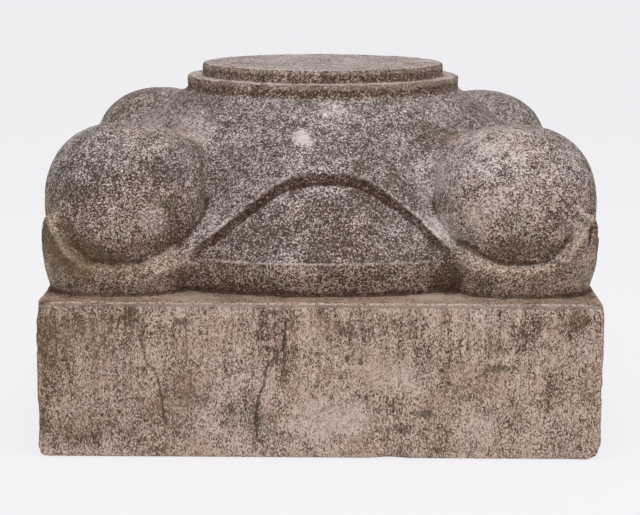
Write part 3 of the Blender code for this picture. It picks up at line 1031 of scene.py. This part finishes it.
def read_places(f):
    """Where each point lies, which way it faces, and what the mesh stores of it."""
    m = SimpleNamespace(**{name: f.mask(name) for name in PLAIN_MASKS})
    for name, reach in SIGNED_MASKS.items():
        setattr(m, name, f.times(f.off_middle(f.mask(name)), reach))
    m.place = f.node("TexCoord").outputs["Object"]
    parts = f.node("SeparateXYZ")
    f.put(parts.inputs[0], m.place)
    m.across, m.along, m.height = parts.outputs
    m.nearer = f.calc("MINIMUM", f.calc("ABSOLUTE", m.across), f.calc("ABSOLUTE", m.along))
    facing = f.node("SeparateXYZ")
    f.put(facing.inputs[0], f.node("NewGeometry").outputs["Normal"])
    m.upward = facing.outputs[2]
    return m


def climb(f, m, low, high):
    """Share that goes from 0 to 1 between two heights above the plinth."""
    return f.ramp(m.height, PLINTH_HEIGHT + low, PLINTH_HEIGHT + high)


def sink(f, m, low, high):
    return f.less(1.0, climb(f, m, low, high))


def draw_areas(f, m):
    """The plinth, the carving above it, and their level and overhanging faces."""
    m.below = sink(f, m, -0.0030, -0.0008)
    m.carving = f.less(1.0, m.below)
    # Faces turned down, which the finish paints as shade
    m.under = f.ramp(m.upward, 0.20, -0.60)
    level = f.ramp(m.upward, 0.85, 0.99)
    m.ledge = f.times(level, f.fall(m.height, 0.115, 0.120))
    m.seat = f.times(level, f.ramp(m.height, 0.252, 0.256))
    # The low belly of the carving, which curves under and is painted as shade
    m.belly = f.times(m.carving, sink(f, m, 0.020, 0.026))


def draw_patterns(f, m):
    """Random patterns: specks, blotches, streaks, the plinth's tooling."""
    # The specks on the plinth are finer and drawn out upright, along its tooling
    finer = f.add(1.0, f.times(m.below, SPECKS_FINER))
    longer = f.less(1.0, f.times(m.below, SPECKS_LONGER))
    drawn = f.node("CombineXYZ")
    for socket, part, scale in zip(drawn.inputs, (m.across, m.along, m.height), (finer, finer, longer)):
        f.put(socket, f.times(part, scale))
    drawn = drawn.outputs[0]
    m.grain = f.noise(drawn, 0.9, 2.0, 0.80)
    m.coarse = f.noise(drawn, 3.4, 3.0, 0.75)
    m.small, m.hue = f.grains(drawn, 0.72)
    m.large = f.grains(f.moved(drawn, (0.3, 0.7, 0.1)), 1.6)[0]
    m.mottle = f.noise(m.place, 12.0, 4.0, 0.70, 0.4)
    m.cloud = f.noise(m.place, 42.0, 3.0, 0.55, 0.6)
    m.drift = f.noise(m.place, 95.0, 2.0, 0.50)
    m.fleck = f.grains(f.moved(m.place, (0.9, 0.2, 0.4)), 0.95)[0]
    m.wiggle = f.times(f.off_middle(f.noise(m.place, 4.5, 3.0, 0.8)), WIGGLE)
    m.streak = f.noise(f.stretch(m.place, (1, 1, 9)), 3.2, 2.0, 0.6)
    m.tooling = f.noise(f.stretch(m.place, (1, 1, 14)), 5.2, 1.0, 0.5)


def draw_joints(f, m):
    """The creases where the balls and the foot meet the stone, painted as shade with some grime, and the face
    of each cup beside them, its lip strip painted lighter and its wall under the lip's edge painted as shade.
    """
    near_tip = f.times(climb(f, m, 0.030, 0.044), f.ramp(m.nearer, 0.160, 0.175))
    apart = f.add(f.calc("ABSOLUTE", m.to_ball), f.calc("ABSOLUTE", m.to_rest))
    # The crease where a ball meets the stone: its darkness is painted shade with some grime; the bump also
    # sinks it
    joint = f.fall(apart, 0.0012, f.add(0.0032, f.times(near_tip, 0.0042)))
    m.joint = f.times(joint, sink(f, m, 0.058, 0.085))
    # On the cup: its lip strip made lighter as painted light, its wall just under the lip's edge darker as
    # painted shade
    on_cup = f.fall(m.to_cup, 0.0010, 0.0024)
    m.strip = f.times(on_cup, f.ramp(m.lip, -0.0006, 0.0014))
    m.wall = f.times(on_cup, f.fall(m.lip, -0.0020, 0.0002), f.ramp(m.lip, -0.020, -0.006))
    # The ball just above its crease, darker: painted shade with some soil
    at_ball = f.times(f.near(m.to_ball, 0.0010, 0.0030), f.ramp(m.to_rest, 0.018, 0.002))
    m.at_ball = f.times(at_ball, climb(f, m, 0.062, 0.044))
    # The line where the carving meets the plinth, darker: painted shade with some grime
    foot = f.times(f.near(f.less(m.height, PLINTH_HEIGHT), 0.0006, 0.0034), f.near(m.to_rest, 0.0010, 0.0050))
    m.foot = f.times(foot, m.carving)


def draw_band(f, m):
    """The band under the arched edge, painted as shade with some grime, the edge's pale rim and the pale
    ridge line below the arch, both painted highlights.
    """
    on_band = f.near(m.band_height, 0.0010, 0.0022)
    on_band = f.times(on_band, f.ramp(m.band_inside, 0.02, 0.16), f.fall(m.band_inside, 1.02, 1.28))
    m.on_band = f.times(on_band, climb(f, m, 0.020, 0.044))
    edges = f.add(f.ramp(m.band_inside, 0.34, 0.14), f.ramp(m.band_inside, 0.80, 0.96))
    m.band_line = f.times(m.on_band, edges)
    patchy = f.ramp(m.coarse, 0.35, 0.60)
    # The arched edge's pale rim and the ridge line below the arch: painted highlights
    rim = f.near(f.less(m.band_height, 0.0010), 0.0004, 0.0012)
    m.rim = f.times(rim, f.near(m.band_inside, 0.10, 0.40), patchy)
    ridge = f.near(f.less(m.height, PLINTH_HEIGHT + RIDGE_RISE - 0.0003), 0.0003, 0.0014)
    m.ridge = f.times(ridge, f.fall(m.nearer, 0.070, 0.094), patchy)


def draw_cut(f, m):
    """The cut line beside the outer corner of the right front cup; its dark colour is a painted shadow line.
    """
    corner = f.add(f.add(m.across, m.along), CUT_SHIFT)
    cut = f.near(f.add(corner, f.times(m.wiggle, 0.4)), 0.0006, 0.0018)
    cut = f.times(cut, f.ramp(m.nearer, 0.17, 0.18), climb(f, m, 0.034, 0.042), sink(f, m, 0.056, 0.061))
    right_front = f.ramp(f.less(m.across, m.along), 0.30, 0.35)
    m.cut = f.times(cut, right_front, f.ramp(m.upward, 0.45, 0.20))


def crack(f, m, half, places):
    """How much each point lies in a crack that runs down the front face through (height, across) points."""
    low, high = places[0][0], places[-1][0]
    course = f.line(m.height, places)
    share = f.near(f.add(f.less(m.across, course), m.wiggle), half * 0.35, half)
    ends = f.times(f.ramp(m.height, low, low + 0.004), f.fall(m.height, high - 0.001, high))
    return f.times(share, ends)


def draw_cracks(f, m):
    cracks = 0.0
    for half, places in CRACKS:
        cracks = f.calc("MAXIMUM", cracks, crack(f, m, half, places))
    front = f.fall(m.along, -0.2200, -0.2180)
    gaps = f.add(0.45, f.times(f.ramp(f.noise(m.place, 6.0, 2.0, 0.6), 0.38, 0.56), 0.55))
    m.cracks = f.times(cracks, front, gaps)


def draw_spots(f, m):
    """How much each point lies in the pit or in one of the small dark spots."""
    ragged = f.times(f.off_middle(m.coarse), 2.4)
    m.spots = 0.0
    front = [((x, -0.2225, z), (wide, 0.010, high), strength) for x, z, wide, high, strength in FRONT_SPOTS]
    for place, size, strength in front + [PIT]:
        shift = tuple(-part / length for part, length in zip(place, size))
        away = f.node("VectorMath")
        away.operation = "LENGTH"
        f.put(away.inputs[0], f.stretch(m.place, size, shift))
        share = f.fall(f.add(away.outputs["Value"], ragged), 0.55, 1.25)
        m.spots = f.calc("MAXIMUM", m.spots, f.times(share, strength))


def add_up_dirt(f, m):
    """How dark the stone is made, from 0 to 1: grime, stains and streaks, with painted shade in crevices,
    creases, the band, the foot and under the lip, and painted highlights taking some away.
    """
    upper = climb(f, m, 0.030, 0.055)
    dirt = f.total(m.grime, (
        # Painted shade: crevices and nooks low on the stone darker; higher up the crevices are made lighter
        (m.crevice, f.less(0.10, f.times(upper, 0.36))),
        (m.nook, f.less(0.22, f.times(upper, 0.16))),
        # Painted shade with some grime: the crease by the balls, the band under the arch and the ball just
        # above its crease
        (m.joint, 0.55),
        (m.on_band, 0.26),
        (m.at_ball, 0.22),
        # The lip strip lighter as painted light, the wall under the lip's edge darker as painted shade
        (m.strip, -0.08),
        (m.wall, 0.26),
        # Painted shade with some grime at the foot; the low belly gets fewer dark specks
        (m.foot, 0.60),
        (m.belly, -0.16),
        (m.stain, 0.9),
        (f.off_middle(m.mottle), 1.3),
        (f.off_middle(m.cloud), 1.0),
        (m.seat, -0.56),
        (m.ledge, 0.14),
        # Faces turned down on the carving a little darker: painted shade
        (f.times(m.under, m.carving), 0.02),
        # Painted highlights on the rim and ridge, and the edges, which are partly wear, make these lighter
        (f.add(m.rim, m.ridge), -0.22),
        (m.arris, -0.12),
    ))
    streaks = f.times(m.below, f.ramp(m.height, -0.02, 0.11), f.times(f.off_middle(m.streak), 1.5))
    m.dirt = f.calc("ADD", dirt, streaks, clamp=True)


def draw_specks(f, m):
    """Specks: the darker the place is made, by grime or by painted shade, the more of them are dark."""
    mix = f.add(f.times(m.grain, 0.36), f.times(m.coarse, 0.16))
    mix = f.add(mix, f.add(f.times(m.small, 0.37), f.times(m.large, 0.11)))
    threshold = f.add(0.375, f.times(m.dirt, 0.27))
    spread = f.less(0.170, f.times(m.contrast, 0.085))
    m.dark = f.ramp(f.less(mix, threshold), f.times(spread, 1.5), f.times(spread, -1.2))
    m.bright = f.ramp(m.fleck, 0.80, 0.92)


def mix_stone(f, m):
    """The stone's speckled colour, from cool grey to warm brown, with the blotches on it; faces turned down
    and the low belly are painted warmer as shade.
    """
    # Faces turned down are painted warmer and browner: painted shade
    warm = f.add(m.warmth, f.times(f.ramp(m.upward, 0.55, -0.30), 0.80))
    # The low belly is painted warmer as shade; the level seat is made cooler
    warm = f.add(warm, f.times(m.belly, 0.45))
    warm = f.less(warm, f.times(m.seat, 0.55))
    warm = f.calc("ADD", warm, f.times(f.off_middle(m.drift), 1.2), clamp=True)
    light, middle, deep = (f.blend(warm, paint(cool), paint(hot)) for cool, hot in (LIGHT, MIDDLE, DEEP))
    deep = f.blend(f.ramp(m.cloud, 0.52, 0.70), deep, paint(MOSS))
    colour = f.blend(f.ramp(m.dark, 0.0, 0.55), light, middle)
    colour = f.blend(f.ramp(m.dark, 0.45, 1.0), colour, deep)
    pale = f.times(m.bright, f.less(1.0, f.times(m.dirt, 0.5)), f.times(m.contrast, 0.60))
    pink = f.times(m.below, f.ramp(f.noise(m.place, 30.0, 2.0, 0.5), 0.50, 0.66), 0.22)
    soil = f.calc("MULTIPLY", f.ramp(m.crevice, 0.45, 0.95), f.ramp(m.mottle, 0.30, 0.60), clamp=True)
    return f.coats(colour, (
        (f.times(f.ramp(m.hue, 0.70, 0.95), 0.16), RUST),
        (f.times(f.ramp(m.hue, 0.30, 0.05), 0.16), OLIVE),
        (pale, WHITE),
        (pink, PINK),
        (f.times(f.ramp(m.tone, 0.0, -1.0), 0.55), BROWN),
        (f.times(f.ramp(m.tone, 0.0, 1.0), 0.62), BLOOM),
        (f.times(soil, 0.35), SOIL),
    ))


def mix_colour(f, m):
    """The speckled stone with the lines, rims, tooling and cracks laid over it; the band, creases, cut line,
    foot and belly carry painted shade, the rim, ridge and edges painted highlights.
    """
    colour = mix_stone(f, m)
    # The band under the arched edge tinted darker: painted shade with some grime
    band = f.times(m.on_band, f.add(0.75, f.times(m.band_line, 0.25)))
    colour = f.tinted(band, colour, BAND_SHADE_AND_GRIME_TINT)
    # Pale along the edges, more on the seat's edges: partly wear, partly painted highlight
    on_edge = f.times(f.ramp(m.arris, 0.45, 0.95), f.add(0.14, f.times(f.ramp(m.height, 0.250, 0.254), 0.08)))
    colour = f.coats(colour, (
        # Painted shade, some of it with grime: the band's edges, the creases by the balls, the cut line, the
        # foot and the belly; painted highlights: the rim, the ridge and the edges, which are partly wear
        (f.times(m.band_line, 0.35), BAND_EDGE_SHADE_COLOUR),
        (f.times(m.joint, 0.62), CREASE_SHADE_AND_GRIME_COLOUR),
        (f.times(m.cut, 0.85), CUT_SHADOW_COLOUR),
        (f.times(m.foot, 0.60), FOOT_SHADE_AND_GRIME_COLOUR),
        (f.times(f.times(m.belly, f.less(1.0, m.contrast)), 0.10), BELLY_SHADE_COLOUR),
        (f.add(f.times(m.rim, 0.35), f.times(m.ridge, 0.50)), RIM_HIGHLIGHT_COLOUR),
        (on_edge, ARRIS_WEAR_AND_HIGHLIGHT_COLOUR),
    ))
    bars = f.blend(f.ramp(m.tooling, 0.32, 0.68), *BAR_TINTS)
    colour = f.tinted(f.times(m.below, f.ramp(m.height, 0.03, 0.10), 0.8), colour, bars)
    colour = f.tinted(f.times(m.ledge, 0.9), colour, LEDGE_TINT)
    return f.blend(f.calc("MAXIMUM", f.times(m.cracks, 0.80), m.spots), colour, paint(CRACK_COLOUR))


def add_relief(f, m):
    """Bump: relief that is finer than the mesh."""
    relief = f.add(f.times(m.grain, 0.45), f.times(m.coarse, 0.6))
    relief = f.add(relief, f.add(f.times(m.mottle, 0.5), f.times(m.small, 0.10)))
    tooled = f.times(m.below, m.tooling)
    relief = f.total(relief, ((tooled, 0.6), (m.cracks, -1.2), (m.joint, -0.8), (m.cut, -1.0)))
    bump = f.node("Bump")
    bump.inputs["Strength"].default_value = 0.9
    bump.inputs["Distance"].default_value = 0.0012
    f.put(bump.inputs["Height"], relief)
    f.put(f.shader.inputs["Normal"], bump.outputs["Normal"])


def stone_material():
    f = Finish("weathered_stone_with_painted_shade")
    m = read_places(f)
    for draw in (draw_areas, draw_patterns, draw_joints, draw_band, draw_cut, draw_cracks, draw_spots,
                 add_up_dirt, draw_specks):
        draw(f, m)
    f.put(f.shader.inputs["Base Color"], mix_colour(f, m))
    f.put(f.shader.inputs["Roughness"], f.add(0.82, f.times(m.dark, 0.10)))
    f.shader.inputs["Specular IOR Level"].default_value = 0.25
    add_relief(f, m)
    return f.material


add_camera()
add_stage()
stone = build_stone()
stone.data.materials.clear()
stone.data.materials.append(stone_material())
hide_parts("column_base")
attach(stone, "root")
